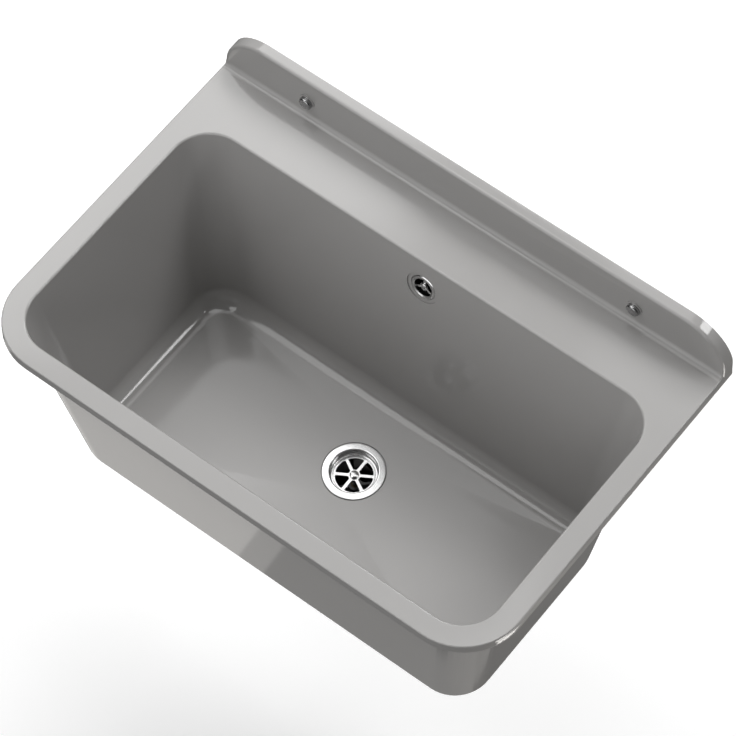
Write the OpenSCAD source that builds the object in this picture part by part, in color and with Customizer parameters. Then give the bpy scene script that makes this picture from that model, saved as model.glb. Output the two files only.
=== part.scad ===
// Wall-hung utility sink: one moulded basin with a splashback, its strainer waste,
// its overflow with a ribbed hose, and the covered holes for the screws that hold it.
// Millimetres. X runs along the wall, the wall is the plane y = 0 behind the sink and
// the room is towards -Y. The origin lies on the wall, midway between the two screw holes.

/* [Basin] */
// Overall width along the wall
basin_w = 613; // [590:1:680]
// Overall depth, wall to front edge
basin_d = 402; // [390:1:440]
// Depth of the bowl below the rim, at the drain
bowl_h = 230; // [205:1:260]
// Wall thickness of the bowl and its floor
wall_t = 4; // [3:0.5:5]
// Width of the rim at the two sides of the bowl
rim_side = 24.5; // [22:0.5:30]
// Width of the rim in front of the bowl
rim_front = 23; // [21:1:30]
// Depth of the deck between the bowl and the wall
deck_d = 83; // [78:1:95]
// Corner radius of the bowl's opening
open_r = 42; // [34:1:55]
// Corner radius of the bowl where its walls meet the floor
foot_r = 36; // [28:1:42]
// How far each side wall leans in between rim and floor
side_lean = 36; // [20:1:45]
// How far the front wall leans in between rim and floor
front_lean = 23; // [15:1:35]
// How far the back wall leans in between rim and floor
back_lean = 46; // [35:1:52]
// Radius between the walls and the floor, inside
floor_fillet = 18; // [12:1:22]
// Radius between the walls and the floor, outside
foot_fillet = 8; // [4:1:20]
// Fall of the floor from its edges to the drain
floor_fall = 3; // [1:0.5:5]

/* [Rim and splashback] */
// Height of the turned-down lip round the rim
lip_h = 11; // [10:1:20]
// Thickness of the lip
lip_t = 3.5; // [2.5:0.5:5]
// How far the foot of the lip stands out from its top
lip_flare = 0.5; // [0.5:0.5:2]
// Thickness of the rim and deck plate
plate_t = 4; // [3:0.5:5]
// Radius of the rim's outer edge
rim_edge_r = 1.5; // [1:0.5:4]
// Radius of the edge between rim and bowl
open_edge_r = 2; // [1.5:0.5:6]
// Corner radius of the rim at the front
rim_r = 64; // [50:1:75]
// Corner radius of the rim at the wall
rim_back_r = 2; // [1:0.5:8]
// Height of the splashback above the rim
splash_h = 53; // [52:1:70]
// Thickness of the splashback at its foot
splash_foot_t = 16; // [14:0.5:22]
// Thickness of the splashback at its top
splash_top_t = 12; // [10.5:0.5:14]
// Radius of the splashback's two top corners
splash_r = 50; // [30:1:52]
// Radius of the splashback's front edge
splash_edge_r = 3.5; // [1:0.5:5]
// Radius between splashback and deck
splash_fillet = 7; // [4:0.5:10]
// Wall thickness of the hollow splashback
splash_wall = 4; // [3:0.5:5]
// Thickness of the ribs behind the splashback and under the deck
rib_t = 3; // [2:0.5:4]
// Ribs behind the splashback
splash_ribs = 7; // [3:1:7]
// How far the ribs under the deck reach down the back of the bowl
gusset_h = 60; // [45:1:90]

/* [Wall fixing] */
// Distance between the two wall screws
screw_pitch = 400; // [340:1:460]
// Height of the wall screws above the rim
screw_rise = 22.5; // [20:0.5:28]
// Diameter of the wall screws that the collar washers take
screw_d = 7; // [5:0.5:7]
// Outer diameter of the boss round each wall screw
boss_d = 17; // [15:0.5:20]
// Diameter of the flat seat in front of each boss
seat_d = 18; // [17.5:0.5:26]
// Outer diameter of the collar washer
collar_d = 11.6; // [11:0.1:12]
// Thickness of the collar washer's flange
collar_t = 1.5; // [1:0.1:1.7]
// Outer diameter of the clip-on screw cover
cover_d = 14.5; // [14:0.5:16]
// Height of the screw cover
cover_h = 5; // [4.6:0.1:7]
// Radius of the screw cover's edge
cover_edge_r = 2.2; // [1.2:0.1:2.4]

/* [Drain] */
// Distance of the drain from the wall
drain_y = 214; // [208:1:225]
// Outer diameter of the strainer's flange
flange_d = 65; // [62:0.5:70]
// Diameter of the strainer's mouth
mouth_d = 49; // [44:0.5:50]
// Depth of the grate below the bowl's floor
grate_depth = 8; // [6:0.5:10]
// Thickness of the strainer's sheet steel
sheet_t = 1; // [0.8:0.1:1.2]
// Spokes of the grate
spokes = 6; // [4:1:6]
// Width of each spoke
spoke_w = 3.2; // [2.5:0.1:4]
// Outer diameter of the ring of openings
grate_open_d = 39.5; // [36:0.5:41]
// Diameter of the grate's hub
hub_d = 12.5; // [11:0.5:14]
// Radius of the corners of the grate's openings
opening_r = 1.4; // [0.5:0.1:1.5]
// Diameter of the drain screw's shank
drain_screw_d = 6; // [5:0.5:6]
// Diameter of the drain screw's head
drain_head_d = 9.4; // [9:0.1:10.5]
// Thickness of the seal under the strainer's flange
top_seal_t = 1.5; // [1:0.5:2]
// Thickness of the seal under the floor
low_seal_t = 4; // [3:0.5:6]
// Outer diameter of the waste body's flange
waste_flange_d = 78; // [74:1:84]
// Outer diameter of the waste body's chamber
chamber_d = 62; // [60:1:66]
// Wall thickness of the waste body and the overflow elbow
body_t = 3; // [2:0.5:4]
// Thread diameter of the waste outlet
outlet_d = 47.8; // [40:0.1:48]
// Length of the waste outlet's thread
outlet_l = 24; // [18:1:35]

/* [Overflow] */
// Depth of the overflow's centre below the rim
overflow_drop = 37; // [35:0.5:42]
// Outer diameter of the overflow rosette
rosette_d = 30; // [28:0.5:33]
// Diameter of the dimple in the wall round the rosette
dimple_d = 38; // [36:0.5:42]
// Depth of the dimple
dimple_t = 1.5; // [1:0.5:2]
// Diameter of the hole through the wall for the overflow
overflow_hole_d = 24; // [23.5:0.5:25]
// Diameter of the overflow screw's shank
overflow_screw_d = 5; // [4:0.5:5]
// Thickness of the seal behind the wall
overflow_seal_t = 3; // [2:0.5:4]
// Outer diameter of the overflow elbow's flange
elbow_flange_d = 42; // [40:0.5:46]
// Outer diameter of the overflow elbow's barrel
elbow_d = 34; // [33:0.5:36]

/* [Hose] */
// Outer diameter of the ribbed hose
hose_d = 20; // [18:0.5:22]
// Bore of the ribbed hose
hose_bore = 15; // [13:0.5:16]
// Length of hose from one rib to the next
rib_pitch = 4; // [3.5:0.1:6]
// Radius of the hose's bend
bend_r = 80; // [72:1:84]
// Length of each hose spigot's thread
spigot_l = 14; // [12:0.5:16]
// Grip ribs on each union nut
nut_grips = 12; // [6:1:18]
// Thickness of each hose seal
hose_seal_t = 2; // [1.5:0.5:3]

/* [Hidden] */

$fn = 96;
corner_n = 12;     // steps in each rounded corner of a moulded outline
edge_n = 4;        // steps in each rounded edge
press_gap = 0.05;  // a piece pressed or moulded into another
thread_gap = 0.08; // a thread that turns
turn_gap = 0.3;    // faces that pass each other when a piece turns
slip_gap = 0.2;    // a piece dropped into its seat

moulded_grey = [0.60, 0.60, 0.59];
steel = [0.86, 0.87, 0.88];
cover_chrome = [0.78, 0.78, 0.79];
seal_black = [0.13, 0.13, 0.14];
fitting_black = [0.16, 0.16, 0.17];
hose_grey = [0.80, 0.81, 0.81];
brass = [0.80, 0.66, 0.36];
nylon = [0.88, 0.87, 0.83];

rim_z = -screw_rise;                   // height of the rim, seen from the wall screws
floor_z = rim_z - bowl_h;              // height of the floor at the drain
back_slope = atan(back_lean / bowl_h); // lean of the bowl's back wall

// ---------------------------------------------------------------- lofts

// Points on an arc from angle a0 to a1 in n steps, the first of them left out if skip is 1
function arc(cx, cy, r, a0, a1, n, skip = 0) =
    [for (i = [skip:n]) let (a = a0 + (a1 - a0) * i / n) [cx + r * cos(a), cy + r * sin(a)]];

function quarter(cx, cy, r, a0) = arc(cx, cy, r, a0, a0 + 90, corner_n);

// A rectangle with rounded corners, rf at the front (y0) and rb at the back (y1)
function rounded(x0, x1, y0, y1, rf, rb) = concat(
    quarter(x0 + rf, y0 + rf, rf, 180),
    quarter(x1 - rf, y0 + rf, rf, 270),
    quarter(x1 - rb, y1 - rb, rb, 0),
    quarter(x0 + rb, y1 - rb, rb, 90));

// A circle with as many points as a rounded outline, starting at the same corner
function ring_round(cx, cy, r) = let (n = 4 * (corner_n + 1))
    [for (i = [0:n - 1]) let (a = 180 + (i + 0.5) * 360 / n) [cx + r * cos(a), cy + r * sin(a)]];

function at_height(outline, z) = [for (p = outline) [p.x, p.y, z]];

// A closed solid through rings of equal counts, each ring anticlockwise seen from the last one
module loft(rings) {
    n = len(rings[0]);
    last = len(rings) - 1;
    points = [for (ring = rings) each ring];
    sides = [for (j = [0:last - 1], i = [0:n - 1])
        let (a = j * n + i, b = j * n + (i + 1) % n) each [[a, a + n, b + n], [a, b + n, b]]];
    first_cap = [for (i = [0:n - 1]) i];
    last_cap = [for (i = [n - 1:-1:0]) last * n + i];
    polyhedron(points, concat([first_cap], sides, [last_cap]), convexity = 8);
}

// ---------------------------------------------------------------- basin

// Outline of the bowl's inside at a depth below the rim, grown outwards by g
function bowl_outline(depth, g) =
    let (
        s = depth / bowl_h,
        r = open_r + (foot_r - open_r) * s + g,
        x = basin_w / 2 - rim_side - side_lean * s + g)
    rounded(-x, x, -basin_d + rim_front + front_lean * s - g, -deck_d - back_lean * s + g, r, r);

// Rings of the bowl, grown by g, from its floor's edge up the round f to the foot of the wall
function fillet_rings(g, f) = [for (i = [edge_n * 2:-1:0])
    let (a = 90 * i / (edge_n * 2), depth = bowl_h - floor_fall + g - f * (1 - sin(a)))
    at_height(bowl_outline(depth, g - f * (1 - cos(a))), rim_z - depth)];

module bowl_inside() {
    edge = [for (i = [0:edge_n]) let (b = 90 * i / edge_n)
        at_height(bowl_outline(open_edge_r * (1 - sin(b)), open_edge_r * (1 - cos(b))),
            rim_z - open_edge_r * (1 - sin(b)))];
    loft(concat([at_height(ring_round(0, -drain_y, drain_flat_r), floor_z)], fillet_rings(0, floor_fillet),
        edge, [at_height(bowl_outline(0, open_edge_r), rim_z + plate_t)]));
}

module bowl_outside() {
    loft(concat([at_height(ring_round(0, -drain_y, drain_flat_r), floor_z - wall_t)],
        fillet_rings(wall_t, foot_fillet),
        [at_height(bowl_outline(plate_t / 2, wall_t), rim_z - plate_t / 2)]));
}

// Outline of the rim, g beyond its top
function rim_outline(g) =
    rounded(-basin_w / 2 + lip_flare - g, basin_w / 2 - lip_flare + g,
        -basin_d + lip_flare - g, 0, rim_r + g, rim_back_r + g);

// The rim's plate and its turned-down lip, whose foot flares out and has a small chamfer
module rim() {
    chamfer = 1;
    foot = rim_z - lip_h + chamfer;
    flare_h = lip_h - rim_edge_r - chamfer - 2;
    flare = [for (i = [0:edge_n]) at_height(rim_outline(lip_flare * cos(90 * i / edge_n)),
        foot + flare_h * i / edge_n)];
    top_edge = [for (i = [0:edge_n]) let (a = 90 * i / edge_n)
        at_height(rim_outline(-rim_edge_r * (1 - cos(a))), rim_z - rim_edge_r * (1 - sin(a)))];
    difference() {
        loft(concat([at_height(rim_outline(lip_flare - chamfer), rim_z - lip_h)], flare, top_edge));
        loft([for (z = [rim_z - lip_h - 1, rim_z - plate_t]) at_height(rounded(
            -basin_w / 2 + lip_flare + lip_t, basin_w / 2 - lip_flare - lip_t,
            -basin_d + lip_flare + lip_t, -lip_t, rim_r - lip_t, 1), z)]);
    }
}

// Outline of the splashback seen from the front, in x and z, drawn in by e
function splash_outline(e) =
    let (x = basin_w / 2 - lip_flare - e, top = rim_z + splash_h - e, r = splash_r - e)
    concat([[x, rim_z - plate_t / 2]], quarter(x - r, top - r, r, 0), quarter(r - x, top - r, r, 90),
        [[-x, rim_z - plate_t / 2]]);

// Thickness of the splashback at a height above the rim
function splash_t(up) = splash_foot_t + (splash_top_t - splash_foot_t) * up / splash_h;

module splashback_solid() {
    function ring(e, back) = [for (p = splash_outline(e)) [p.x, -splash_t(p.y - rim_z) + back, p.y]];
    rounding = [for (i = [0:edge_n]) let (a = 90 * i / edge_n)
        ring(splash_edge_r * (1 - cos(a)), splash_edge_r * (1 - sin(a)))];
    intersection() {
        loft(concat([[for (p = splash_outline(0)) [p.x, 0, p.y]]], rounding));
        translate([0, 0, rim_z - plate_t]) linear_extrude(splash_h + 2 * plate_t) polygon(rim_outline(0));
    }
}

// The concave round between the splashback and the deck
module splash_root() {
    f = splash_fillet;
    y = -splash_t(f);
    half = basin_w / 2 - lip_flare - rim_edge_r;
    translate([-half, 0, rim_z]) rotate([90, 0, 90]) linear_extrude(2 * half) difference() {
        translate([y - f, -plate_t / 2]) square([f + 2, f + plate_t / 2]);
        translate([y - f, f]) circle(r = f);
    }
}

module splash_hollow() {
    depth = splash_top_t - splash_wall;
    base = 3;  // solid foot of the splashback, above the rim
    difference() {
        intersection() {
            translate([0, 1, 0]) rotate([90, 0, 0]) linear_extrude(depth + 1)
                polygon(splash_outline(splash_wall));
            translate([-basin_w / 2, -depth - 1, rim_z + base]) cube([basin_w, depth + 3, splash_h]);
        }
        for (i = [1:splash_ribs])
            translate([(i / (splash_ribs + 1) - 0.5) * basin_w - rib_t / 2, -depth - 2, rim_z])
                cube([rib_t, depth + 4, splash_h]);
        at_wall_screws() rotate([90, 0, 0]) cylinder(d = boss_d, h = depth + 1);
    }
}

module under_deck_ribs() {
    from_middle = [-0.36, -0.14, 0.14, 0.36];  // as shares of the width
    foot = -deck_d - back_lean * gusset_h / bowl_h + wall_t / 2;
    for (x = from_middle * basin_w)
        translate([x - rib_t / 2, 0, rim_z]) rotate([90, 0, 90]) linear_extrude(rib_t)
            polygon([[-lip_t / 2, -plate_t / 2], [-lip_t / 2, -lip_h + 4], [foot, -gusset_h],
                [-deck_d + wall_t / 2 - back_lean * plate_t / bowl_h, -plate_t / 2]]);
}

module at_wall_screws() {
    for (side = [-1, 1]) translate([side * screw_pitch / 2, 0, 0]) children();
}

seat_out = 0.8;                        // how far the flat seats stand out of the sloping splashback
seat_y = -splash_t(screw_rise) - seat_out; // plane of the seats for the collar washers

module basin() {
    color(moulded_grey) difference() {
        union() {
            bowl_outside();
            rim();
            splashback_solid();
            splash_root();
            under_deck_ribs();
            at_wall_screws() translate([0, seat_y, 0]) rotate([-90, 0, 0]) cylinder(d = seat_d, h = 5);
            at_drain(-under_floor) cylinder(d = waste_flange_d + 4, h = pad_t + wall_t / 2);
            at_overflow(wall_t / 2) cylinder(d = elbow_flange_d, h = wall_t / 2 + overflow_pad_t);
        }
        bowl_inside();
        splash_hollow();
        at_wall_screws() rotate([90, 0, 0]) translate([0, 0, -1])
            cylinder(d = collar_bore_d, h = splash_foot_t + 5);
        at_drain(-seat_drop) cylinder(d = flange_d + 2, h = seat_drop + 1);
        at_drain(-under_floor - 1) cylinder(d = floor_hole_d, h = under_floor + 2);
        at_overflow(-5) cylinder(d = dimple_d, h = 5 + dimple_t);
        at_overflow(-5) cylinder(d = overflow_hole_d, h = behind_wall + 6);
    }
}

// ---------------------------------------------------------------- wall fixing

collar_bore_d = screw_d + 2.4;         // bore of each boss, which takes the collar's sleeve
collar_sleeve_l = -seat_y;             // the sleeve ends flush with the wall's plane

module collar_washer(side) {
    color(nylon) translate([side * screw_pitch / 2, seat_y, 0]) rotate([-90, 0, 0]) difference() {
        union() {
            translate([0, 0, -collar_t]) cylinder(d = collar_d, h = collar_t);
            cylinder(d = collar_bore_d - 2 * press_gap, h = collar_sleeve_l);
        }
        translate([0, 0, -collar_t - 1])
            cylinder(d = screw_d + 2 * press_gap, h = collar_sleeve_l + collar_t + 2);
    }
}

// Half section of the screw cover's outside, drawn in by g, as a flat cap with a round edge
module cover_section(g) {
    r = cover_d / 2 - g;
    top = cover_h - g;
    edge = max(0.5, cover_edge_r - g);
    crown = 6 * r;                     // the cap's face bulges a little
    intersection() {
        union() {
            square([r, top - edge]);
            square([r - edge, top]);
            translate([r - edge, top - edge]) circle(r = edge);
        }
        translate([0, top - crown]) circle(r = crown, $fn = 360);
    }
}

module screw_cover(side) {
    skin = (cover_d - collar_d) / 2 - slip_gap;
    color(cover_chrome) translate([side * screw_pitch / 2, seat_y, 0]) rotate([90, 0, 0]) rotate_extrude()
        difference() {
            cover_section(0);
            translate([-1, -1]) square([cover_d / 2 - skin + 1, collar_t + 1]);
            cover_section(skin);
        }
}

// ---------------------------------------------------------------- drain

spigot_d = hose_d + 7;                 // thread of the two hose spigots
shoulder_d = spigot_d + 3;             // plain part of each spigot, behind the thread
nut_d = spigot_d + 9;                  // union nuts over their grips
pad_t = 2;                             // raised pad under the floor, where the lower seal bears
seat_drop = 2;                         // recess in the floor that the strainer's flange lies in
under_floor = wall_t + pad_t;          // floor's underside at the drain, below its top
drain_flat_r = flange_d / 2 + 3;       // level part of the floor round the drain
waste_top = under_floor + low_seal_t;  // top of the waste body below the floor's top
inlet_drop = waste_top + body_t + 2 + nut_d / 2; // axis of the overflow inlet below the floor's top
chamber_h = inlet_drop - waste_top + spigot_d / 2 + 3; // depth of the waste body's chamber
floor_hole_d = mouth_d + 2 * sheet_t + 2;
insert_d = 9;                          // outer diameter of each brass insert
insert_h = 12;                         // length of each brass insert
insert_top = inlet_drop - insert_h / 2;
grip_r = chamber_d / 2 - body_t;       // inside radius of the waste body's chamber

module at_drain(up) {
    translate([0, -drain_y, floor_z + up]) children();
}

// Section of the strainer's sheet: flange, rolled mouth and wall, down to the grate
module strainer_section() {
    f = flange_d / 2;
    m = mouth_d / 2;
    roll = 2;
    lift = top_seal_t - seat_drop;
    up = lift + sheet_t + 1;
    polygon(concat([[f, lift], [f, lift + 0.5], [f - 0.6, lift + 1.1], [f - 2, up - 0.4]],
        quarter(m + roll, up - roll, roll, 90),
        [[m, -grate_depth - sheet_t], [m + sheet_t, -grate_depth - sheet_t]],
        arc(m + roll, up - roll, roll - sheet_t, 180, 90, corner_n), [[m + roll + 1, lift]]));
}

// One opening of the grate, centred on the X axis: two arcs and four round corners
module grate_opening() {
    half = 180 / spokes;
    clear = spoke_w / 2 + opening_r;   // a corner's centre, from the middle of its spoke
    outer = grate_open_d / 2;
    inner = hub_d / 2;
    far = outer - opening_r;
    near = inner + opening_r;
    f = half - asin(clear / far);
    n = half - asin(clear / near);
    linear_extrude(sheet_t + 2) polygon(concat(
        arc(0, 0, outer, -f, f, 10, 1),
        arc(far * cos(f), far * sin(f), opening_r, f, half + 90, edge_n, 1),
        arc(near * cos(n), near * sin(n), opening_r, half + 90, n + 180, edge_n),
        arc(0, 0, inner, n, -n, 3, 1),
        arc(near * cos(n), -near * sin(n), opening_r, 180 - n, 270 - half, edge_n, 1),
        arc(far * cos(f), -far * sin(f), opening_r, 270 - half, 360 - f, edge_n)));
}

module strainer() {
    plate_r = (mouth_d + sheet_t) / 2;
    color(steel) at_drain(0) {
        rotate_extrude() strainer_section();
        difference() {
            translate([0, 0, -grate_depth - sheet_t]) cylinder(r = plate_r, h = sheet_t);
            translate([0, 0, -grate_depth - sheet_t - 1]) cylinder(d = drain_screw_d + 2 * slip_gap, h = 5);
            for (i = [0:spokes - 1]) rotate(180 / spokes + 360 * i / spokes)
                translate([0, 0, -grate_depth - sheet_t - 1]) grate_opening();
        }
    }
}

module drain_screw() {
    head_h = 2.6;
    slot_w = 1.2;
    slot_t = 1.3;
    color(steel) at_drain(-grate_depth + press_gap) difference() {
        union() {
            rotate_extrude() intersection() {
                square([drain_head_d / 2, head_h]);
                translate([0, head_h - drain_head_d]) circle(r = drain_head_d);
            }
            translate([0, 0, -(insert_top + insert_h - grate_depth)])
                cylinder(d = drain_screw_d, h = insert_top + insert_h - grate_depth + 1);
        }
        translate([-drain_head_d, -slot_w / 2, head_h - slot_t]) cube([2 * drain_head_d, slot_w, 2]);
    }
}

module ring_of(d_in, d_out, h) {
    difference() {
        cylinder(d = d_out, h = h);
        translate([0, 0, -1]) cylinder(d = d_in, h = h + 2);
    }
}

module drain_top_seal() {
    color(seal_black) at_drain(-seat_drop) ring_of(floor_hole_d + 1, flange_d - 4, top_seal_t);
}

module drain_lower_seal() {
    color(seal_black) at_drain(-waste_top) ring_of(floor_hole_d + 1, waste_flange_d - 2, low_seal_t);
}

module waste_body() {
    top = -waste_top;
    flange_t = body_t + 1;
    outlet_top = top - chamber_h;
    cone_h = (chamber_d - outlet_d) / 2;
    tail = outlet_top - cone_h - outlet_l;
    out_r = outlet_d / 2 - body_t - 1.5;
    inlet_l = chamber_d / 2 + spigot_l + 3;
    rib_h = 14;         // eight ribs stiffen the flange from below
    web = 2.5;          // cross that holds the brass insert in the chamber
    color(fitting_black) at_drain(0) difference() {
        union() {
            rotate_extrude() polygon([[0, top], [waste_flange_d / 2, top],
                [waste_flange_d / 2, top - flange_t], [chamber_d / 2, top - flange_t],
                [chamber_d / 2, outlet_top], [outlet_d / 2, outlet_top - cone_h],
                [outlet_d / 2, tail], [0, tail]]);
            translate([0, 0, -inlet_drop]) rotate([-90, 0, 0]) cylinder(d = spigot_d, h = inlet_l);
            translate([0, 0, -inlet_drop]) rotate([-90, 0, 0])
                cylinder(d = shoulder_d, h = inlet_l - spigot_l);
            for (i = [0:7]) rotate(22.5 + 45 * i) translate([0, rib_t / 2, top - flange_t])
                rotate([90, 0, 0]) linear_extrude(rib_t) polygon([[grip_r + 1, flange_t / 2],
                    [waste_flange_d / 2 - 1, flange_t / 2], [chamber_d / 2 - 1, -rib_h],
                    [grip_r + 1, -rib_h]]);
        }
        difference() {
            union() {
                rotate_extrude() polygon([[0, top + 1], [grip_r, top + 1], [grip_r, outlet_top],
                    [out_r, outlet_top - cone_h], [out_r, tail - 1], [0, tail - 1]]);
                translate([0, 0, -inlet_drop]) rotate([-90, 0, 0])
                    cylinder(d = hose_bore, h = inlet_l + 1);
            }
            translate([0, 0, -insert_top - insert_h]) {
                cylinder(d = insert_d + 5, h = insert_h);
                for (turn = [45, 135]) rotate(turn)
                    translate([-grip_r - 1, -web / 2, 1.5]) cube([2 * grip_r + 2, web, insert_h - 3]);
            }
        }
        translate([0, 0, -insert_top - insert_h - 1])
            cylinder(d = insert_d + 2 * press_gap, h = insert_h + 2);
    }
}

module threaded_insert(bore) {
    color(brass) difference() {
        cylinder(d = insert_d, h = insert_h);
        translate([0, 0, -1]) cylinder(d = bore + 2 * thread_gap, h = insert_h + 2);
    }
}

module waste_insert() {
    at_drain(-insert_top - insert_h) threaded_insert(drain_screw_d);
}

// ---------------------------------------------------------------- overflow

overflow_pad_t = 2;                    // raised pad behind the wall, where the seal bears
behind_wall = wall_t + overflow_pad_t; // back of that pad, measured through the wall
elbow_start = behind_wall + overflow_seal_t;
inlet_face_y = -drain_y + chamber_d / 2 + 3 + spigot_l;
cuff_l = 13;                           // length of each hose cuff beyond its seal
cuff_web = 4;                          // solid end of the cuff, which the hose stops against
hose_start = hose_seal_t + cuff_web;   // the hose's end face, beyond the spigot's face
hose_lead = cuff_l - cuff_web + hose_d; // straight run at each end of the hose
hose_low_y = inlet_face_y + hose_start + hose_lead;
hose_y = hose_low_y + bend_r;          // the hose's upright run, and the elbow's spigot
hose_z = floor_z - inlet_drop;         // the hose's level run
elbow_in_y = -deck_d - back_lean * overflow_drop / bowl_h;
elbow_reach = (hose_y - elbow_in_y) / cos(back_slope); // from the bowl's wall to over the spigot
elbow_mid_z = rim_z - overflow_drop - elbow_reach * sin(back_slope);
spigot_z = elbow_mid_z - elbow_d / 2 - 3 - spigot_l;   // the elbow spigot's end face
overflow_insert_at = elbow_start + 8;
rosette_hub_at = dimple_t + 1.6;       // the rosette's hub, from the wall's face
overflow_turns = [30, 150, 270];      // the overflow's spokes: two low, one upright

// Places children on the overflow's axis, with +Z going back through the bowl's wall
module at_overflow(through) {
    translate([0, elbow_in_y, rim_z - overflow_drop]) rotate([-90 - back_slope, 0, 0])
        translate([0, 0, through]) children();
}

module overflow_rosette() {
    r = rosette_d / 2;
    cup_r = overflow_hole_d / 2 - 0.5;
    web = 2.6;          // width of each spoke
    color(steel) at_overflow(0) {
        rotate_extrude() polygon([[cup_r - sheet_t, dimple_t - 0.4], [cup_r + 0.6, dimple_t - 1.2],
            [r - 1, dimple_t - 0.9], [r, dimple_t - 0.1], [r, dimple_t], [cup_r, dimple_t],
            [cup_r, behind_wall - 1], [cup_r - sheet_t, behind_wall - 1]]);
        translate([0, 0, rosette_hub_at]) difference() {
            union() {
                cylinder(d = 9, h = sheet_t);
                for (turn = overflow_turns) rotate(turn)
                    translate([0, -web / 2, 0]) cube([cup_r - sheet_t / 2, web, sheet_t]);
            }
            translate([0, 0, -1]) cylinder(d = overflow_screw_d + 2 * slip_gap, h = 4);
        }
    }
}

module overflow_screw() {
    head_d = 8;
    head_h = 2.2;
    tip = overflow_insert_at + insert_h;
    head_at = rosette_hub_at - press_gap;
    slot_w = 1;
    slot_t = 1;
    color(steel) at_overflow(0) difference() {
        union() {
            translate([0, 0, head_at]) rotate([180, 0, 0]) rotate_extrude() intersection() {
                square([head_d / 2, head_h]);
                translate([0, head_h - head_d]) circle(r = head_d);
            }
            translate([0, 0, head_at - 1]) cylinder(d = overflow_screw_d, h = tip - head_at + 1);
        }
        translate([-head_d, -slot_w / 2, head_at - head_h - 1]) cube([2 * head_d, slot_w, 1 + slot_t]);
    }
}

module overflow_seal() {
    color(seal_black) at_overflow(behind_wall)
        ring_of(overflow_hole_d, elbow_flange_d - 2, overflow_seal_t);
}

module overflow_elbow() {
    end = elbow_reach + spigot_d / 2 + body_t;
    bore_r = elbow_d / 2 - body_t;
    web = 2.5;          // spokes that hold the brass insert in the bore
    color(fitting_black) difference() {
        union() {
            at_overflow(elbow_start) cylinder(d = elbow_flange_d, h = body_t);
            at_overflow(elbow_start) cylinder(d = elbow_d, h = end - elbow_start);
            translate([0, hose_y, spigot_z]) cylinder(d = spigot_d, h = elbow_mid_z - spigot_z);
            translate([0, hose_y, spigot_z + spigot_l])
                cylinder(d = shoulder_d, h = elbow_mid_z - spigot_z - spigot_l);
        }
        difference() {
            union() {
                at_overflow(elbow_start - 1) cylinder(r = bore_r, h = end - elbow_start + 1 - body_t);
                translate([0, hose_y, spigot_z - 1]) cylinder(d = hose_bore, h = elbow_mid_z - spigot_z + 1);
            }
            at_overflow(overflow_insert_at) {
                cylinder(d = insert_d + 4, h = insert_h);
                for (turn = overflow_turns) rotate(turn)
                    translate([0, -web / 2, 1.5]) cube([bore_r + 1, web, insert_h - 3]);
            }
        }
        at_overflow(overflow_insert_at - 1) cylinder(d = insert_d + 2 * press_gap, h = insert_h + 2);
    }
}

module overflow_insert() {
    at_overflow(overflow_insert_at) threaded_insert(overflow_screw_d);
}

// ---------------------------------------------------------------- hose and its unions

collar_r = spigot_d / 2 - 0.4;         // the cuff's collar, which the union nut pulls up
collar_h = 2.5;
cuff_r = hose_d / 2 + 1.5;

// Places children at the end of a hose spigot, with +Z running away from it along the hose
module at_upper_union() {
    translate([0, hose_y, spigot_z]) rotate([180, 0, 0]) children();
}

module at_lower_union() {
    translate([0, inlet_face_y, hose_z]) rotate([-90, 0, 0]) children();
}

module hose_seal() {
    color(seal_black) ring_of(hose_bore, 2 * collar_r, hose_seal_t);
}

module hose_cuff() {
    color(fitting_black) translate([0, 0, hose_seal_t]) difference() {
        union() {
            cylinder(r = collar_r, h = collar_h);
            cylinder(r = cuff_r, h = cuff_l);
        }
        translate([0, 0, -1]) cylinder(d = hose_bore, h = cuff_l + 2);
        translate([0, 0, cuff_web]) cylinder(d = hose_d + 2 * press_gap, h = cuff_l);
    }
}

module union_nut() {
    shoulder = hose_seal_t + collar_h + turn_gap;
    grip = 2.4;
    color(fitting_black) difference() {
        union() {
            translate([0, 0, -spigot_l + 2]) cylinder(d = nut_d - grip, h = spigot_l + shoulder - 2);
            translate([0, 0, shoulder]) cylinder(d1 = nut_d - grip, d2 = nut_d - grip - 4, h = 3);
            for (i = [0:nut_grips - 1]) rotate(360 * i / nut_grips)
                translate([nut_d / 2 - grip / 2, 0, -spigot_l + 2])
                    cylinder(d = grip, h = spigot_l + shoulder - 2, $fn = 24);
        }
        translate([0, 0, -spigot_l + 1]) cylinder(d = spigot_d + 2 * thread_gap, h = spigot_l + shoulder - 1);
        cylinder(r = cuff_r + turn_gap, h = shoulder + 5);
    }
}

// Point and direction of the hose's axis, at a run s from its upper end, in y and z
hose_up_l = spigot_z - hose_start - (hose_z + bend_r);
hose_arc_l = bend_r * PI / 2;
hose_l = hose_up_l + hose_arc_l + hose_lead;
function hose_at(s) =
    s < hose_up_l ? [hose_y, hose_z + bend_r + hose_up_l - s, 0]
    : s < hose_up_l + hose_arc_l ? let (a = (s - hose_up_l) / bend_r * 180 / PI)
        [hose_y - bend_r * (1 - cos(a)), hose_z + bend_r * (1 - sin(a)), a]
    : [hose_low_y - (s - hose_up_l - hose_arc_l), hose_z, 90];

hose_sides = 8;
// A ring of the hose at run s; the third value of hose_at is the turn from straight down
function hose_ring(s, r) =
    let (p = hose_at(s))
    [for (i = [0:hose_sides - 1]) let (b = (i + 0.5) * 360 / hose_sides)
        [r * cos(b), p[0] + r * sin(b) * cos(p[2]), p[1] - r * sin(b) * sin(p[2])]];

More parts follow.
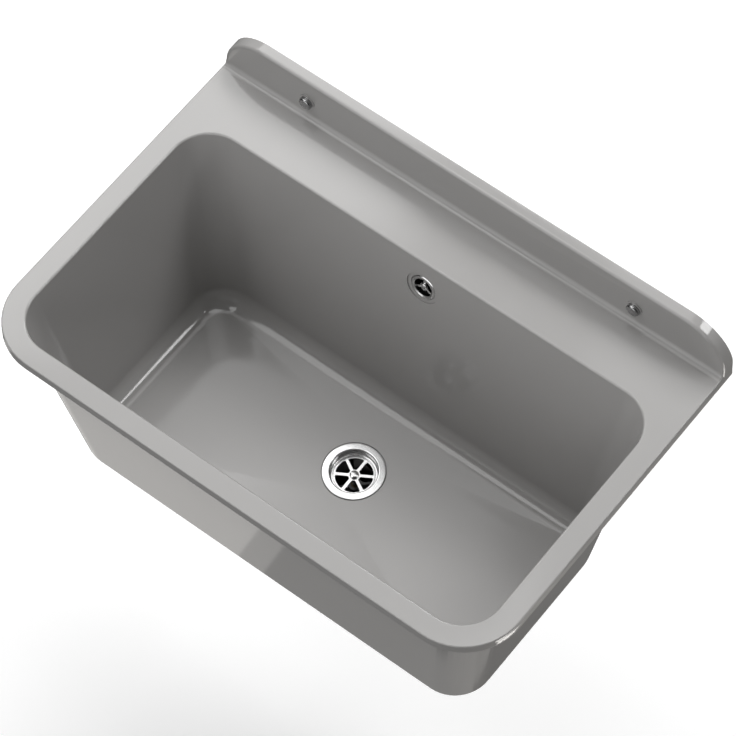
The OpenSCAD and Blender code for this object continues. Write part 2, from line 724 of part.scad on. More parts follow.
module overflow_hose() {
    count = floor(hose_l / rib_pitch);
    step = hose_l / count;
    root = hose_d / 2 - 1.6;  // radius between two ribs
    outside = [for (i = [0:count - 1])
        each [hose_ring(i * step, root), hose_ring((i + 0.5) * step, hose_d / 2)]];
    bore = [for (i = [0:count]) hose_ring(i * step, hose_bore / 2)];
    rings = concat(outside, [hose_ring(hose_l, root)], [for (i = [count:-1:0]) bore[i]]);
    n = hose_sides;
    m = len(rings);
    color(hose_grey) polyhedron([for (ring = rings) each ring],
        [for (j = [0:m - 1], i = [0:n - 1])
            let (k = (i + 1) % n, a = j * n, b = (j + 1) % m * n)
            each [[a + i, b + i, b + k], [a + i, b + k, a + k]]], convexity = 10);
}

basin();
collar_washer(-1);  // left_collar_washer
collar_washer(1);  // right_collar_washer
screw_cover(-1);  // left_screw_cover
screw_cover(1);  // right_screw_cover
strainer();
drain_screw();
drain_top_seal();
drain_lower_seal();
waste_body();
waste_insert();
overflow_rosette();
overflow_screw();
overflow_seal();
overflow_elbow();
overflow_insert();
at_upper_union() hose_seal();  // upper_hose_seal
at_upper_union() hose_cuff();  // upper_hose_cuff
at_upper_union() union_nut();  // upper_union_nut
overflow_hose();
at_lower_union() hose_seal();  // lower_hose_seal
at_lower_union() hose_cuff();  // lower_hose_cuff
at_lower_union() union_nut();  // lower_union_nut
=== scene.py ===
# %% [markdown]
# # A wall-hung utility sink
# The sink is one big plastic moulding with a metal strainer in its floor, a small overflow in
# its back wall and two covers over the wall screws. Its engineering model comes first, as a
# frame of finished solids, and everything below dresses that frame: finishes, the forms that are
# too fine for the solids, a floor, lamps and a camera.

# %% Load the frame
import math

import bmesh
import bpy
from mathutils import Matrix, Vector


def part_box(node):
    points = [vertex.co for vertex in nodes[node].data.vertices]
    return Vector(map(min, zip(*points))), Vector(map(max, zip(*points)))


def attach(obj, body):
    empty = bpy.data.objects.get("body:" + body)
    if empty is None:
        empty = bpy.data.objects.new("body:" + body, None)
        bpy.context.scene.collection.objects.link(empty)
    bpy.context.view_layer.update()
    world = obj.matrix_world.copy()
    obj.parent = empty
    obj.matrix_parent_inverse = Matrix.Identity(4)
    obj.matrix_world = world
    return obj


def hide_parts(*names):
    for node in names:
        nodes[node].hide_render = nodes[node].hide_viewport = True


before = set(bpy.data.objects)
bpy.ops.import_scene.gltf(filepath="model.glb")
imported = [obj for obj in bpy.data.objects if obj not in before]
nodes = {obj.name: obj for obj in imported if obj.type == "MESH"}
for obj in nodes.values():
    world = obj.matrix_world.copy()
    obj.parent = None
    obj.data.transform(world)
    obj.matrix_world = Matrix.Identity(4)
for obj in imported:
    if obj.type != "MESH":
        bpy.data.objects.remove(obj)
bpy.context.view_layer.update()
scene = bpy.context.scene

# %% [markdown]
# ## Camera
# The photograph is taken from high above the sink's front right corner, with a long lens, so
# parallel edges stay almost parallel. Its place was found by matching the rim's long edges,
# the screws, the drain and the overflow. A camera is turned by three directions: right, up and
# back, which are the columns of its matrix.

# %% Camera
AZIMUTH, ELEVATION, ROLL = math.radians(42.71), math.radians(59.96), math.radians(-5.31)
CAMERA_PLACE = (1.2791, -1.5645, 3.1687)
SENSOR_MM, LENS_MM = 36, 188.64
back = Vector((math.sin(AZIMUTH) * math.cos(ELEVATION), -math.cos(AZIMUTH) * math.cos(ELEVATION),
               math.sin(ELEVATION)))
level = Vector((math.cos(AZIMUTH), math.sin(AZIMUTH), 0))
over = back.cross(level)
right = math.cos(ROLL) * level + math.sin(ROLL) * over
up = -math.sin(ROLL) * level + math.cos(ROLL) * over

lens = bpy.data.cameras.new("camera")
lens.sensor_width = SENSOR_MM
lens.lens = LENS_MM
lens.clip_end = 50
camera = bpy.data.objects.new("camera", lens)
scene.collection.objects.link(camera)
turn = Matrix((right, up, back)).transposed().to_4x4()
camera.matrix_world = Matrix.Translation(CAMERA_PLACE) @ turn
scene.camera = camera
scene.view_settings.view_transform = "Standard"
print("camera", [round(v, 3) for v in camera.location])

# %% [markdown]
# ## Small helpers for materials
# A material is a graph of nodes. These helpers add a node with its values in one line, and a
# Math node together with what feeds it, so that each finish below stays short enough to read.

# %% Material helpers
def add_node(tree, kind, place=(0, 0), **values):
    """A node of this kind, with its plain settings and its input values."""
    made = tree.nodes.new(kind)
    made.location = place
    for name, value in values.items():
        if name in made.inputs:
            made.inputs[name].default_value = value
        else:
            setattr(made, name, value)
    return made


def computed(tree, operation, *inputs, place=(0, 0)):
    """The output of a Math node that takes numbers and other nodes' outputs."""
    made = add_node(tree, "ShaderNodeMath", place, operation=operation)
    for socket, value in zip(made.inputs, inputs):
        if isinstance(value, (int, float)):
            socket.default_value = value
        else:
            tree.links.new(value, socket)
    return made.outputs[0]


def new_material(name, color, metallic=0.0, roughness=0.4):
    """A material with its Principled BSDF, and the graph that it is in."""
    made = bpy.data.materials.new(name)
    made.use_nodes = True
    shader = made.node_tree.nodes["Principled BSDF"]
    shader.inputs["Base Color"].default_value = (*color, 1)
    shader.inputs["Metallic"].default_value = metallic
    shader.inputs["Roughness"].default_value = roughness
    return made, made.node_tree, shader


def dress(node, material):
    """Gives a solid its finish."""
    solid = nodes[node]
    solid.data.materials.clear()
    solid.data.materials.append(material)


print("helpers ready")

# %% [markdown]
# ## Moulding grain, as a node group
# No moulded plastic is perfectly even. The pigment clouds a little over a few centimetres, the
# gloss is broken by a very fine skin, and years of cleaning leave soft patches. Several
# plastics here share that, so it is one group: it takes how strong each effect is and gives a
# factor for the colour, a roughness and a height for a Bump node.

# %% Moulding grain group
grain = bpy.data.node_groups.new("moulding_grain", "ShaderNodeTree")
for name, value in (("Roughness", 0.2), ("Gloss Change", 0.04), ("Cloud Change", 0.03)):
    socket = grain.interface.new_socket(name, in_out="INPUT", socket_type="NodeSocketFloat")
    socket.default_value = value
for name in ("Shade", "Roughness", "Height"):
    grain.interface.new_socket(name, in_out="OUTPUT", socket_type="NodeSocketFloat")

enter = add_node(grain, "NodeGroupInput", (-900, 0))
leave = add_node(grain, "NodeGroupOutput", (700, 0))
place = add_node(grain, "ShaderNodeTexCoord", (-900, 300))
clouds = add_node(grain, "ShaderNodeTexNoise", (-650, 350), Scale=9, Detail=3, Roughness=0.55)
patches = add_node(grain, "ShaderNodeTexNoise", (-650, 80), Scale=34, Detail=4, Roughness=0.6)
skin = add_node(grain, "ShaderNodeTexNoise", (-650, -220), Scale=420, Detail=2, Roughness=0.5)
for texture in (clouds, patches, skin):
    grain.links.new(place.outputs["Object"], texture.inputs["Vector"])


def swing(source, amount, base, at):
    """base + (source - 0.5) * amount: a noise that goes both ways round its base."""
    centred = computed(grain, "SUBTRACT", source, 0.5, place=at)
    return computed(grain, "MULTIPLY_ADD", centred, amount, base, place=(at[0] + 200, at[1]))


shade = swing(clouds.outputs["Fac"], enter.outputs["Cloud Change"], 1.0, (-300, 350))
gloss = swing(patches.outputs["Fac"], enter.outputs["Gloss Change"], enter.outputs["Roughness"],
              (-300, 80))
grain.links.new(shade, leave.inputs["Shade"])
grain.links.new(gloss, leave.inputs["Roughness"])
grain.links.new(skin.outputs["Fac"], leave.inputs["Height"])
print("group:", grain.name)

# %% [markdown]
# ## Moulded plastics
# The sink is a light grey glossy plastic. The fittings under it are black, so that nothing
# shines up through the grate, and the hose is a duller grey. They differ only in colour, gloss
# and how deep the grain is, so one function makes them all. The colour is multiplied by the
# grain's shade, and the grain's height goes through a Bump node, whose distance is in metres.

# %% Moulded plastics
def moulded(name, color, roughness, clouds=0.06, gloss_change=0.05, skin_depth=0.00002):
    """A plastic or rubber out of a mould, with the grain at these strengths."""
    made, tree, shader = new_material(name, color, roughness=roughness)
    group = add_node(tree, "ShaderNodeGroup", (-700, 0), node_tree=grain)
    group.inputs["Roughness"].default_value = roughness
    group.inputs["Gloss Change"].default_value = gloss_change
    group.inputs["Cloud Change"].default_value = clouds
    tint = add_node(tree, "ShaderNodeMix", (-400, 250), data_type="RGBA", blend_type="MULTIPLY")
    tint.inputs["Factor"].default_value = 1
    tint.inputs[6].default_value = (*color, 1)
    tree.links.new(group.outputs["Shade"], tint.inputs[7])
    tree.links.new(tint.outputs[2], shader.inputs["Base Color"])
    tree.links.new(group.outputs["Roughness"], shader.inputs["Roughness"])
    bump = add_node(tree, "ShaderNodeBump", (-400, -250), Strength=0.35, Distance=skin_depth)
    tree.links.new(group.outputs["Height"], bump.inputs["Height"])
    tree.links.new(bump.outputs["Normal"], shader.inputs["Normal"])
    return made


FITTING_BLACK = (0.016, 0.016, 0.017)
basin_plastic = moulded("basin_plastic", (0.338, 0.332, 0.326), 0.1)
fitting_plastic = moulded("fitting_plastic", FITTING_BLACK, 0.32, clouds=0.2)
hose_plastic = moulded("hose_plastic", (0.55, 0.56, 0.57), 0.38, clouds=0.08)
bush_nylon = moulded("bush_nylon", (0.74, 0.73, 0.68), 0.45)
dress("basin", basin_plastic)
for side in ("left", "right"):
    dress(side + "_collar_washer", bush_nylon)
for node in ("overflow_elbow", "upper_hose_cuff", "lower_hose_cuff", "upper_union_nut",
             "lower_union_nut"):
    dress(node, fitting_plastic)
print("plastics:", basin_plastic.name, fitting_plastic.name, hose_plastic.name)

# %% [markdown]
# ## The outlet's thread
# A trap's union nut screws onto the waste body's outlet. The solid has a plain cylinder there, so
# that it can be measured. A thread could be a spun ridge, but nobody comes close to this one, so
# a bump draws it: the angle round the axis plus the height, counted in turns, gives a wave that
# climbs like a real thread, and two tests keep it to the outside of the outlet.

# %% The outlet's thread
THREAD_PITCH, THREAD_DEPTH, THREAD_LENGTH, THREAD_INSIDE = 0.0023, 0.0005, 0.0225, 0.0225
waste_plastic = moulded("waste_plastic", FITTING_BLACK, 0.32, clouds=0.2)
tree = waste_plastic.node_tree
shader = tree.nodes["Principled BSDF"]
skin_bump = shader.inputs["Normal"].links[0].from_node
low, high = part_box("strainer")
drain_axis = ((low.x + high.x) / 2, (low.y + high.y) / 2)
outlet_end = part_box("waste_body")[0].z

coords = add_node(tree, "ShaderNodeTexCoord", (-1500, -500))
centred = add_node(tree, "ShaderNodeMapping", (-1300, -500),
                   Location=(-drain_axis[0], -drain_axis[1], -outlet_end))
tree.links.new(coords.outputs["Object"], centred.inputs["Vector"])
parts = add_node(tree, "ShaderNodeSeparateXYZ", (-1100, -500))
tree.links.new(centred.outputs["Vector"], parts.inputs["Vector"])
x, y, z = parts.outputs
angle = computed(tree, "ARCTAN2", y, x, place=(-900, -400))
turns = computed(tree, "MULTIPLY_ADD", z, 2 * math.pi / THREAD_PITCH, angle, place=(-700, -400))
wave = computed(tree, "SINE", turns, place=(-500, -400))
print("thread:", round(THREAD_LENGTH / THREAD_PITCH, 1), "turns")

# %% The outlet's thread: where it is
y_squared = computed(tree, "MULTIPLY", y, y, place=(-1100, -700))
radius = computed(tree, "SQRT", computed(tree, "MULTIPLY_ADD", x, x, y_squared, place=(-900, -700)),
                  place=(-800, -700))
outside = computed(tree, "GREATER_THAN", radius, THREAD_INSIDE, place=(-700, -700))
along = computed(tree, "LESS_THAN", z, THREAD_LENGTH, place=(-700, -550))
on_outlet = computed(tree, "MULTIPLY", outside, along, place=(-500, -600))
height = computed(tree, "MULTIPLY", wave, on_outlet, place=(-300, -500))
thread = add_node(tree, "ShaderNodeBump", (-100, -400), Strength=0.9, Distance=THREAD_DEPTH)
tree.links.new(height, thread.inputs["Height"])
tree.links.new(skin_bump.outputs["Normal"], thread.inputs["Normal"])
tree.links.new(thread.outputs["Normal"], shader.inputs["Normal"])
dress("waste_body", waste_plastic)
print("waste body dressed with", waste_plastic.name)

# %% [markdown]
# ## Metals
# The strainer, the overflow plate and their screws are polished stainless steel, and the covers
# over the wall screws have a satin chrome. A mirror would look fake: real polish keeps faint
# brush lines, so a noise stretched along one direction moves the roughness a little. The brass
# inserts are coloured nearly black as painted shade for the drain's dark inside, so no gold shines
# through the grate.

# %% Metals
def metal(name, color, roughness, change=0.08, scale=(30, 900, 30)):
    """A worked metal. The scale says which way its brush lines run."""
    made, tree, shader = new_material(name, color, metallic=1.0, roughness=roughness)
    coords = add_node(tree, "ShaderNodeTexCoord", (-1000, 0))
    stretch = add_node(tree, "ShaderNodeMapping", (-800, 0), Scale=scale)
    lines = add_node(tree, "ShaderNodeTexNoise", (-600, 0), Scale=1, Detail=3, Roughness=0.6)
    spread = add_node(tree, "ShaderNodeMapRange", (-350, 0))
    spread.inputs["To Min"].default_value = max(0.02, roughness - change)
    spread.inputs["To Max"].default_value = roughness + change
    bump = add_node(tree, "ShaderNodeBump", (-350, -250), Strength=0.15, Distance=0.00001)
    tree.links.new(coords.outputs["Object"], stretch.inputs["Vector"])
    tree.links.new(stretch.outputs["Vector"], lines.inputs["Vector"])
    tree.links.new(lines.outputs["Fac"], spread.inputs["Value"])
    tree.links.new(spread.outputs["Result"], shader.inputs["Roughness"])
    tree.links.new(lines.outputs["Fac"], bump.inputs["Height"])
    tree.links.new(bump.outputs["Normal"], shader.inputs["Normal"])
    return made


polished_steel = metal("polished_steel", (0.58, 0.58, 0.58), 0.24)
satin_chrome = metal("satin_chrome", (0.36, 0.36, 0.363), 0.27)
# The inserts' near-black colour is painted shade, not the colour of the brass itself.
painted_shade_brass = metal("painted_shade_brass", (0.05, 0.04, 0.026), 0.5, scale=(60, 60, 1400))
for node in ("strainer", "drain_screw", "overflow_rosette", "overflow_screw"):
    dress(node, polished_steel)
for side in ("left", "right"):
    dress(side + "_screw_cover", satin_chrome)
for node in ("waste_insert", "overflow_insert"):
    dress(node, painted_shade_brass)
print("metals:", polished_steel.name, satin_chrome.name, painted_shade_brass.name)

# %% [markdown]
# ## Rubber seals
# Seals are moulded too, so they take the same function as the plastics: black, dull, and with a
# deeper skin. Only their edges show between the pieces that they seal.

# %% Rubber seals
seal_rubber = moulded("seal_rubber", (0.025, 0.025, 0.026), 0.6, clouds=0.3, skin_depth=0.00006)
for node in ("drain_top_seal", "drain_lower_seal", "overflow_seal", "upper_hose_seal",
             "lower_hose_seal"):
    dress(node, seal_rubber)
print("rubber:", seal_rubber.name)

# %% [markdown]
# ## Smooth rounds on the solids
# A solid arrives as loose flat triangles. Left like that, every rounded edge would show its
# facets. Three modifiers mend it without touching the mesh: Weld joins the triangles, Edge Split
# parts them again along the edges that are sharp on the real piece, and Weighted Normal lets the
# large faces decide the shading, so that flat areas stay flat right up to a rounded edge.

# %% Smooth rounds
MERGE_GAP = 0.000005


def smooth_rounds(piece, angle=32):
    """Shades a solid's rounds smoothly and keeps its sharp edges."""
    piece.data.shade_smooth()
    weld = piece.modifiers.new("join triangles", "WELD")
    weld.merge_threshold = MERGE_GAP
    split = piece.modifiers.new("sharp edges", "EDGE_SPLIT")
    split.split_angle = math.radians(angle)
    weigh = piece.modifiers.new("flat faces lead", "WEIGHTED_NORMAL")
    weigh.mode = "FACE_AREA_WITH_ANGLE"
    weigh.keep_sharp = True


for name, solid in nodes.items():
    smooth_rounds(solid)
print("smoothed", len(nodes), "solids")

# %% [markdown]
# ## Strainer
# The strainer is deep-drawn from one sheet: a flange that lies on the floor, a tight roll into
# the cup, the cup's wall and the grate. It is what the eye goes to in this sink, and the sheet's
# small rounds decide how it shines, so it is drawn finer here than in the solid. It also turns
# the grate: the solid's spokes stand about 30 degrees off the photograph's. The flange and the
# cup are a section of bent sheet, a closed line of points that is spun about the drain's axis.

# %% Strainer: the spun sheet
SPOKES, SPOKE_W, OPENING_R = 6, 0.0032, 0.0014
HUB_R, GRATE_R, PLATE_R, SCREW_HOLE_R = 0.00625, 0.01975, 0.0212, 0.0032
FLANGE_R, MOUTH_R, GRATE_DEPTH, SHEET = 0.0325, 0.0245, 0.0080, 0.0010
GRATE_TURN = math.radians(31)            # as the photograph shows the spokes
drain = Vector((*drain_axis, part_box("strainer")[0].z + GRATE_DEPTH + SHEET))


def arc(cx, cy, r, start, end, steps):
    """Points on an arc, angles in degrees."""
    angles = (math.radians(start + (end - start) * i / steps) for i in range(steps + 1))
    return [(cx + r * math.cos(a), cy + r * math.sin(a)) for a in angles]


def spun(mesh, section, steps=128):
    """Turns a closed section of (radius, height) points into a ring round the drain's axis."""
    ring = [mesh.verts.new((r, 0, z)) for r, z in section]
    edges = [mesh.edges.new((a, b)) for a, b in zip(ring, ring[1:] + ring[:1])]
    bmesh.ops.spin(mesh, geom=ring + edges, cent=(0, 0, 0), axis=(0, 0, 1), angle=2 * math.pi,
                   steps=steps, use_merge=True)


ROLL_R, FOOT_R, EDGE_R = 0.0016, 0.0012, 0.0005
CROWN = 0.00095                          # the roll's top, above the bowl's floor
SHOULDER_IN, SHOULDER = 0.0018, 0.00075  # where the flange turns down to its edge
FLANGE_UNDER, EDGE_UNDER = -0.0003, -0.0005
CUP_TAPER, CORNER_EXTRA = 0.0002, 0.0006
cup_foot_r = MOUTH_R - CUP_TAPER - FOOT_R
groove = [(PLATE_R + out, -GRATE_DEPTH - deep)
          for out, deep in ((0.0010, 0), (0.0007, 0.0003), (0.0003, 0.0003), (0, 0))]
sheet_top = (
    [(FLANGE_R, EDGE_UNDER)] + arc(FLANGE_R - EDGE_R, 0.0001, EDGE_R, 0, 70, 4)
    + [(FLANGE_R - SHOULDER_IN, SHOULDER)]
    + arc(MOUTH_R + ROLL_R, CROWN - ROLL_R, ROLL_R, 80, 180, 8)
    + arc(cup_foot_r, -GRATE_DEPTH + FOOT_R, FOOT_R, 0, -90, 6) + groove)
sheet_under = (
    [(PLATE_R, -GRATE_DEPTH - SHEET), (cup_foot_r, -GRATE_DEPTH - SHEET)]
    + arc(MOUTH_R - FOOT_R, -GRATE_DEPTH - SHEET + FOOT_R + CUP_TAPER, FOOT_R + CORNER_EXTRA,
          -60, 0, 4)
    + arc(MOUTH_R + ROLL_R, CROWN - ROLL_R, ROLL_R - SHEET, 180, 90, 4)
    + [(FLANGE_R - SHOULDER_IN, FLANGE_UNDER)])
bm = bmesh.new()
spun(bm, sheet_top + sheet_under)
print("sheet:", len(bm.faces), "faces")

# %% [markdown]
# ### The grate
# The openings are punched: each is a sector with rounded corners. They could be cut out of a disc
# with a boolean, but that leaves long thin faces that shade badly. So one sector is drawn as a
# ring of four-sided faces: the opening's outline runs from the outer arc round a corner, along
# the spoke to the hub, and back, and each of its points is joined to one on the sector's edge.

# %% The opening's outline
half = 180 / SPOKES                      # of a sector, in degrees
clear = SPOKE_W / 2 + OPENING_R
far, near = GRATE_R - OPENING_R, HUB_R + OPENING_R
at_far = half - math.degrees(math.asin(clear / far))
at_near = half - math.degrees(math.asin(clear / near))


def on_circle(r, angle):
    """The point at this radius and angle, in degrees."""
    return r * math.cos(math.radians(angle)), r * math.sin(math.radians(angle))


upper = (arc(0, 0, GRATE_R, 0, at_far, 6)
         + arc(*on_circle(far, at_far), OPENING_R, at_far, half + 90, 5)[1:]
         + arc(*on_circle(near, at_near), OPENING_R, half + 90, at_near + 180, 5)
         + arc(0, 0, HUB_R, at_near, 0, 2)[1:])
outline = upper + [(x, -y) for x, y in upper[-2:0:-1]]
print("opening:", len(outline), "points")

# %% The sector's edge
SPOKE_END, SPREAD = 3, 4                 # degrees: where a spoke widens into the rim and the hub
ON_ARC, SAME_ANGLE = 1e-6, 1e-3


def sector_edge(x, y):
    """The point of the sector's edge that a point of the opening's outline is joined to."""
    r, angle = math.hypot(x, y), math.degrees(math.atan2(y, x))
    if r > GRATE_R - ON_ARC and abs(angle) < at_far - SAME_ANGLE:
        return on_circle(PLATE_R, angle * half / (at_far + SPREAD))
    if r > GRATE_R - ON_ARC:
        return on_circle(PLATE_R, math.copysign(half - SPOKE_END, angle))
    if r < HUB_R + ON_ARC:
        return on_circle(SCREW_HOLE_R, angle * half / (at_near + SPREAD))
    along_spoke = (r - HUB_R) / (GRATE_R - HUB_R)
    share = min(1, max(0, 1.02 * along_spoke - 0.01))   # a touch longer, so that both ends are met
    return on_circle(SCREW_HOLE_R + share * (PLATE_R - SCREW_HOLE_R), math.copysign(half, angle))


inner = [bm.verts.new((x, y, -GRATE_DEPTH)) for x, y in outline]
outer = [bm.verts.new((*sector_edge(x, y), -GRATE_DEPTH)) for x, y in outline]
count = len(outline)
sector = [bm.faces.new((inner[i], outer[i], outer[(i + 1) % count], inner[(i + 1) % count]))
          for i in range(count)]
print("sector:", len(sector), "faces")

# %% [markdown]
# The sector is copied round while it is still flat, and its copies are merged, before the whole
# plate gets its thickness. Done the other way round, each spoke would keep a wall inside it.

# %% The grate from its sectors
plate, plate_verts = list(sector), inner + outer
for i in range(1, SPOKES):
    copy = bmesh.ops.duplicate(bm, geom=sector)["geom"]
    verts = [v for v in copy if isinstance(v, bmesh.types.BMVert)]
    bmesh.ops.rotate(bm, verts=verts, cent=(0, 0, 0),
                     matrix=Matrix.Rotation(2 * math.pi * i / SPOKES, 3, "Z"))
    plate_verts += verts
    plate += [f for f in copy if isinstance(f, bmesh.types.BMFace)]
bmesh.ops.remove_doubles(bm, verts=plate_verts, dist=MERGE_GAP)
plate = [f for f in plate if f.is_valid]
grown = bmesh.ops.extrude_face_region(bm, geom=plate)["geom"]
bmesh.ops.translate(bm, verts=[v for v in grown if isinstance(v, bmesh.types.BMVert)],
                    vec=(0, 0, -SHEET))
print("grate:", len(plate), "faces on top")

# %% The strainer in its place
EDGE_BEVEL, BEVEL_FROM = 0.00018, math.radians(50)
bmesh.ops.rotate(bm, verts=bm.verts, cent=(0, 0, 0),
                 matrix=Matrix.Rotation(GRATE_TURN + math.radians(half), 3, "Z"))
bmesh.ops.translate(bm, verts=bm.verts, vec=drain)
bmesh.ops.recalc_face_normals(bm, faces=bm.faces)
strainer_mesh = bpy.data.meshes.new("drawn_strainer")
bm.to_mesh(strainer_mesh)
bm.free()
strainer_mesh.materials.append(polished_steel)
strainer = bpy.data.objects.new("drawn_strainer", strainer_mesh)
scene.collection.objects.link(strainer)
soft_edge = strainer.modifiers.new("broken edges", "BEVEL")
soft_edge.width, soft_edge.segments = EDGE_BEVEL, 2
soft_edge.limit_method, soft_edge.angle_limit = "ANGLE", BEVEL_FROM
smooth_rounds(strainer)
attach(strainer, "sink")
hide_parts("strainer")
print("strainer:", len(strainer_mesh.polygons), "faces")

# %% [markdown]
# ## Ribbed hose
# The overflow hose is blown into a mould with a wave along its wall: each rib has a round crest
# and a tighter root. The solid stands for it with plain eight-sided rings. Here the same route
# gets a smooth wave. It could be an array that follows a curve, but a formula keeps the ribs
# square to the route and equally wide everywhere. The route comes from the solid's own box: a
# run straight down, a quarter turn, and a short level run into the waste.

# %% Ribbed hose
HOSE_R, HOSE_BORE_R, RIB_DEPTH, RIB_PITCH = 0.010, 0.0075, 0.0016, 0.004
BEND_R, ROOT_TIGHTNESS = 0.080, 1.6
AROUND, ALONG, SOLID_SIDES = 40, 8, 8
half_flat = HOSE_R * math.cos(math.pi / SOLID_SIDES)
low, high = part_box("overflow_hose")
upright_y, level_z = high.y - half_flat, low.z + half_flat
down = high.z - (level_z + BEND_R)
level_run = (upright_y - BEND_R) - low.y
hose_length = down + BEND_R * math.pi / 2 + level_run
print("hose length:", round(hose_length, 4))


def hose_place(run):
    """The hose's axis at this run from its upper end, and its turn from straight down."""
    if run < down:
        return upright_y, high.z - run, 0.0
    turn = min((run - down) / BEND_R, math.pi / 2)
    rest = max(0.0, run - down - BEND_R * math.pi / 2)
    return (upright_y - BEND_R * (1 - math.cos(turn)) - rest,
            level_z + BEND_R * (1 - math.sin(turn)), turn)


def hose_ring(mesh, run, radius):
    """A ring of points square to the route."""
    y, z, turn = hose_place(run)
    return [mesh.verts.new((radius * math.cos(a), y + radius * math.sin(a) * math.cos(turn),
                            z - radius * math.sin(a) * math.sin(turn)))
            for a in (2 * math.pi * i / AROUND for i in range(AROUND))]


# %% Ribbed hose: rings from end to end, and back through the bore
ribs = round(hose_length / RIB_PITCH)
bm = bmesh.new()
rings = []
for i in range(ribs * ALONG + 1):
    wave = math.cos(2 * math.pi * i / ALONG)
    depth = RIB_DEPTH * (0.5 + 0.5 * wave) ** ROOT_TIGHTNESS
    rings.append(hose_ring(bm, hose_length * i / (ribs * ALONG), HOSE_R - depth))
for i in range(ribs, -1, -1):
    rings.append(hose_ring(bm, hose_length * i / ribs, HOSE_BORE_R))
for this, following in zip(rings, rings[1:] + rings[:1]):
    for i in range(AROUND):
        j = (i + 1) % AROUND
        bm.faces.new((this[i], following[i], following[j], this[j]))
bmesh.ops.recalc_face_normals(bm, faces=bm.faces)
hose_mesh = bpy.data.meshes.new("ribbed_hose")
bm.to_mesh(hose_mesh)
bm.free()
hose_mesh.shade_smooth()
hose_mesh.materials.append(hose_plastic)
hose = bpy.data.objects.new("ribbed_hose", hose_mesh)
scene.collection.objects.link(hose)
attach(hose, "sink")
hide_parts("overflow_hose")
print("ribs:", ribs)

# %% [markdown]
# ## Floor
# The floor is white paper to the camera, and keeps the sink's shadow: a little light of its own
# brings the lit paper up to white. To every other ray it is a dark table. The photograph asks for
# that: the outer walls mirror what lies below them, and they show no white there. A floor that is
# white to every ray would be simpler, but it made those walls far too bright. Metal loses by this:
# it mirrors the dark table and not the paper. Seen from below the floor is clear, so that a view
# of the underside isn't blocked.

# %% Floor
FLOOR_Z, FLOOR_HALF_WIDTH = -0.62, 9
bm = bmesh.new()
bmesh.ops.create_grid(bm, x_segments=2, y_segments=2, size=FLOOR_HALF_WIDTH)
bmesh.ops.translate(bm, verts=bm.verts, vec=(0, 0, FLOOR_Z))
floor_mesh = bpy.data.meshes.new("floor")
bm.to_mesh(floor_mesh)
bm.free()
floor = bpy.data.objects.new("floor", floor_mesh)
scene.collection.objects.link(floor)
print("floor at", FLOOR_Z)

# %% Paper for the camera, dark table for the rest
paper, tree, shader = new_material("white_paper", (0.86, 0.86, 0.86), roughness=0.9)
shader.inputs["Specular IOR Level"].default_value = 0.1
shader.inputs["Emission Color"].default_value = (1, 1, 1, 1)
shader.inputs["Emission Strength"].default_value = 0.3
table = add_node(tree, "ShaderNodeBsdfDiffuse", (-300, -300))
table.inputs["Color"].default_value = (0.12, 0.12, 0.12, 1)
seen = add_node(tree, "ShaderNodeLightPath", (-300, 500))
pick = add_node(tree, "ShaderNodeMixShader", (250, 200))
tree.links.new(seen.outputs["Is Camera Ray"], pick.inputs[0])
tree.links.new(table.outputs[0], pick.inputs[1])
tree.links.new(shader.outputs[0], pick.inputs[2])
clear = add_node(tree, "ShaderNodeBsdfTransparent", (250, -200))
side = add_node(tree, "ShaderNodeNewGeometry", (250, 500))
from_below = add_node(tree, "ShaderNodeMixShader", (500, 200))
tree.links.new(side.outputs["Backfacing"], from_below.inputs[0])
tree.links.new(pick.outputs[0], from_below.inputs[1])
tree.links.new(clear.outputs[0], from_below.inputs[2])
tree.links.new(from_below.outputs[0], tree.nodes["Material Output"].inputs["Surface"])
floor_mesh.materials.append(paper)
print("floor:", paper.name)

# %% [markdown]
# ## Lamps
# The photograph's brightness was compared with renders of this same sink lit by one lamp at a
# time, over the whole sky and the table, and these soft panels explain most of it. The largest
# stands high behind the left corner. The deck and the rim mirror it, and darken towards the
# right, where its edge is. Narrower ones stand behind the wall and at the right, a wide low one
# in front and one overhead fill the bowl, and one at the left front lights the round foot of the
# bowl's back wall. Each is stated by the directions that it covers, seen from the sink, and by
# its radiance.
#
# The outer walls lean over the table, so they mirror only the strip right under them. That is
# where the reflector cards lie, and the front wall is light up to where the left card ends.

# %% Lamps
SINK_MIDDLE = Vector((0, -0.2, -0.1))
LAMP_DISTANCE = 3.2
CARD_LIFT, CARD_WARMTH = 0.02, (1, 0.975, 0.94)


def area_lamp(name, place, away, size, radiance):
    """A one-sided rectangle of light, with the power that gives this radiance."""
    data = bpy.data.lights.new(name, "AREA")
    data.shape = "RECTANGLE"
    data.size, data.size_y = size
    data.energy = radiance * math.pi * size[0] * size[1]
    lamp = bpy.data.objects.new(name, data)
    scene.collection.objects.link(lamp)
    lamp.location = place
    lamp.rotation_euler = away.to_track_quat("Z", "Y").to_euler()
    lamp.visible_camera = False
    print(name, round(data.energy, 2), "W")
    return lamp


def panel(name, azimuths, elevations, radiance):
    """A panel that faces the sink. Azimuth 0 is in front of the sink, 90 is at its right."""
    around = math.radians(sum(azimuths) / 2)
    above = math.radians(sum(elevations) / 2)
    away = Vector((math.sin(around) * math.cos(above), -math.cos(around) * math.cos(above),
                   math.sin(above)))
    half_width = math.radians(azimuths[1] - azimuths[0]) / 2 * math.cos(above)
    half_height = math.radians(elevations[1] - elevations[0]) / 2
    size = [2 * LAMP_DISTANCE * math.tan(half) for half in (half_width, half_height)]
    area_lamp(name, SINK_MIDDLE + away * LAMP_DISTANCE, away, size, radiance)


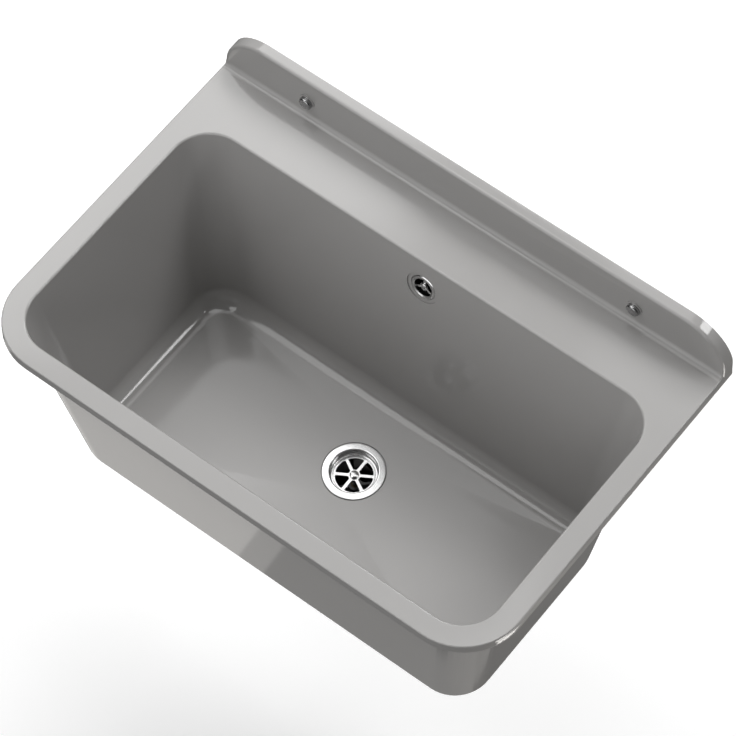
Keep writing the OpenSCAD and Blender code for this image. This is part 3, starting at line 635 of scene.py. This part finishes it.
def card(name, low, high, radiance):
    """A reflector card that lies on the table and shines up."""
    middle = Vector(((low[0] + high[0]) / 2, (low[1] + high[1]) / 2, FLOOR_Z + CARD_LIFT))
    lamp = area_lamp(name, middle, Vector((0, 0, -1)), (high[0] - low[0], high[1] - low[1]),
                     radiance)
    lamp.data.color = CARD_WARMTH


# %% The lamps' places and strengths
panel("main_panel", (213, 268), (40, 58), 3.9)
panel("main_panel_top", (213, 268), (58, 74), 1.7)
panel("wall_panel", (180, 211), (40, 58), 10.5)
panel("wall_panel_top", (180, 211), (58, 74), 1.3)
panel("right_panel", (120, 150), (42, 58), 10.0)
panel("front_panel", (-32, 32), (3, 40), 2.1)
panel("left_panel", (275, 330), (48, 74), 3.2)
panel("overhead_panel", (90, 270), (75, 89), 3.0)
card("left_card", (-0.66, -0.465), (-0.16, -0.30), 0.88)
card("left_card_edge", (-0.16, -0.465), (-0.125, -0.30), 0.55)
card("front_card", (-0.125, -0.465), (0.63, -0.30), 0.27)
card("side_card", (0.30, -0.30), (0.63, 0.25), 0.2)
card("right_card", (0.64, -0.40), (1.70, 0.00), 5.5)

# %% [markdown]
# ## Room light
# A room is never quite black between its lamps, so the world adds a trace of light. The camera
# sees the same world as plain white, beyond the floor's edge.

# %% Room light
world = bpy.data.worlds.new("room")
scene.world = world
world.use_nodes = True
tree = world.node_tree
room = tree.nodes["Background"]
room.inputs["Color"].default_value = (1, 1, 1, 1)
room.inputs["Strength"].default_value = 0.02
bright = add_node(tree, "ShaderNodeBackground", (0, -200), Strength=1.0)
bright.inputs["Color"].default_value = (1, 1, 1, 1)
seen = add_node(tree, "ShaderNodeLightPath", (-400, 200))
pick = add_node(tree, "ShaderNodeMixShader", (250, 0))
tree.links.new(seen.outputs["Is Camera Ray"], pick.inputs[0])
tree.links.new(room.outputs[0], pick.inputs[1])
tree.links.new(bright.outputs[0], pick.inputs[2])
tree.links.new(pick.outputs[0], tree.nodes["World Output"].inputs["Surface"])
print("room light", room.inputs["Strength"].default_value)
